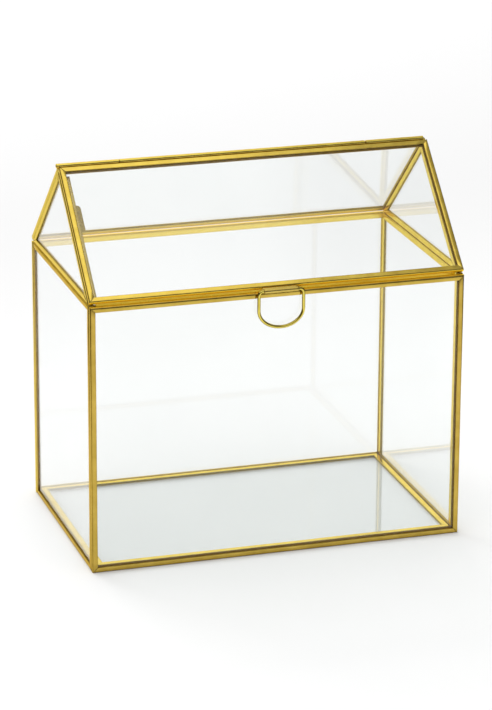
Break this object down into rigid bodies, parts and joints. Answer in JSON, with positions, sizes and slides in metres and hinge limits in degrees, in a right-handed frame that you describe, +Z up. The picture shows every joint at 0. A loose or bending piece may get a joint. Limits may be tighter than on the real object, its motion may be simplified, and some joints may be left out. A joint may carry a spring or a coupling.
{
  "type": "wedding card box",
  "caption": "House-shaped clear glass card box with brass channel edges; the front roof slope is a lid hinged at the ridge, lifted by a D-ring pull.",
  "frame": {"origin": "centre of the box's base, on the surface it stands on", "axes": "+X along the ridge (width), +Y from the lid side to the rear, +Z up"},
  "size_m": [0.2565, 0.1608, 0.2572],
  "materials": {
    "channel_brass": "bright, lightly brushed, warm gold",
    "hinge_brass": "bright drawn tube",
    "pin_brass": "satin drawn wire",
    "sheet_brass": "satin rolled sheet",
    "ring_brass": "polished wire, slightly darker",
    "pane_glass": "clear, smooth"
  },
  "bodies": {
    "box": {"front_bottom": "channel_brass", "front_right": "channel_brass", "front_top": "channel_brass", "front_left": "channel_brass", "front_glass": "pane_glass", "rear_bottom": "channel_brass", "rear_right": "channel_brass", "rear_top": "channel_brass", "rear_left": "channel_brass", "rear_glass": "pane_glass", "left_end_bottom": "channel_brass", "left_end_rear": "channel_brass", "left_end_top": "channel_brass", "left_end_front": "channel_brass", "left_end_glass": "pane_glass", "right_end_bottom": "channel_brass", "right_end_rear": "channel_brass", "right_end_top": "channel_brass", "right_end_front": "channel_brass", "right_end_glass": "pane_glass", "base_front": "channel_brass", "base_right": "channel_brass", "base_rear": "channel_brass", "base_left": "channel_brass", "base_glass": "pane_glass", "left_gable_tie": "channel_brass", "left_gable_rear_rafter": "channel_brass", "left_gable_front_rafter": "channel_brass", "left_gable_glass": "pane_glass", "right_gable_tie": "channel_brass", "right_gable_rear_rafter": "channel_brass", "right_gable_front_rafter": "channel_brass", "right_gable_glass": "pane_glass", "rear_roof_bottom": "channel_brass", "rear_roof_right": "channel_brass", "rear_roof_top": "channel_brass", "rear_roof_left": "channel_brass", "rear_roof_glass": "pane_glass", "knuckle_left": "hinge_brass", "knuckle_right": "hinge_brass", "hinge_pin": "pin_brass", "lid_ledge": "sheet_brass"},
    "lid": {"lid_bottom": "channel_brass", "lid_right": "channel_brass", "lid_top": "channel_brass", "lid_left": "channel_brass", "lid_glass": "pane_glass", "knuckle_lid": "hinge_brass", "pull_hanger": "sheet_brass"},
    "ring": {"pull_ring": "ring_brass"}
  },
  "joints": [
    {"name": "lid_hinge", "type": "hinge", "parent": "box", "child": "lid", "pos_m": [0, 0, 0.25567], "axis": [-1, 0, 0], "range_deg": [0, 165]},
    {"name": "ring_swing", "type": "hinge", "parent": "lid", "child": "ring", "pos_m": [0, -0.08069, 0.18402], "axis": [-1, 0, 0], "range_deg": [0, 200]}
  ]
}
